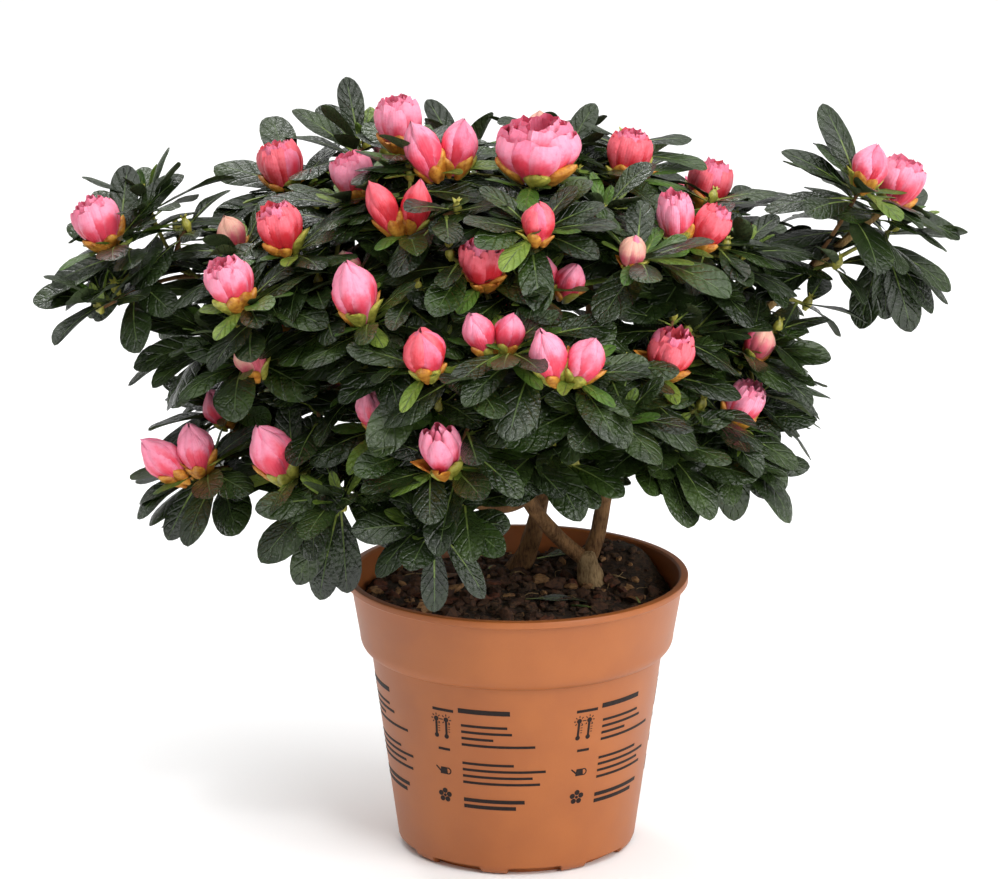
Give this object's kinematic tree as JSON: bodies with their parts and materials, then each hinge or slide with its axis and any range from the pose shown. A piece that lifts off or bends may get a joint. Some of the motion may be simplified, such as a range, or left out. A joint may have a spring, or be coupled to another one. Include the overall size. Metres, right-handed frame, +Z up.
{
  "type": "potted azalea shrub",
  "caption": "Low spreading evergreen azalea in bud, dark leaves in whorls round half-open double pink buds, in a filled orange-brown azalea pot.",
  "frame": {"origin": "middle of the pot's flat underside", "axes": "+Z up out of the soil, +X along the crown's longest spread, the far-reaching right-hand spray at +X, -Y the side with the low front sprays"},
  "size_m": [0.361, 0.2713, 0.2918],
  "materials": {
    "pot": "satin injection-moulded polypropylene, orange-brown like fired clay",
    "soil": "dark, damp, crumbly peat with bark chips and fibres",
    "bark": "thin grey-brown bark with fine cracks, browner and greener on young wood",
    "foliage": "leathery dark green leaves with a sparse gloss, and pink to coral buds"
  },
  "bodies": {
    "root": {"bough_back": "bark", "bough_back_left": "bark", "bough_back_right": "bark", "bough_far_left": "bark", "bough_far_right": "bark", "bough_front": "bark", "bough_front_left": "bark", "bough_front_low": "bark", "bough_left": "bark", "bough_low_front_left": "bark", "bough_low_right": "bark", "bough_lower_left": "bark", "bough_right_back": "bark", "bough_right_upper": "bark", "bough_top": "bark", "bough_top_front": "bark", "bough_top_left": "bark", "bough_top_right": "bark", "limb_left": "bark", "limb_right": "bark", "mass_back": "foliage", "mass_back_left": "foliage", "mass_back_left_top": "foliage", "mass_back_low": "foliage", "mass_back_low_left": "foliage", "mass_back_low_right": "foliage", "mass_back_right": "foliage", "mass_back_top": "foliage", "mass_far_left": "foliage", "mass_far_right": "foliage", "mass_front": "foliage", "mass_front_left": "foliage", "mass_front_low": "foliage", "mass_front_low_right": "foliage", "mass_front_right": "foliage", "mass_left": "foliage", "mass_left_back_low": "foliage", "mass_left_front": "foliage", "mass_left_mid": "foliage", "mass_left_upper": "foliage", "mass_low_front_left": "foliage", "mass_low_front_right": "foliage", "mass_lower_left": "foliage", "mass_lower_left_front": "foliage", "mass_lower_right": "foliage", "mass_right": "foliage", "mass_right_back": "foliage", "mass_right_back_low": "foliage", "mass_right_top": "foliage", "mass_right_upper": "foliage", "mass_top_front": "foliage", "mass_top_left": "foliage", "mass_top_left_back": "foliage", "mass_top_right": "foliage", "mass_upper_front": "foliage", "mass_upper_front_left": "foliage", "pot": "pot", "soil": "soil", "stem_left": "bark", "stem_right": "bark"}
  },
  "joints": []
}
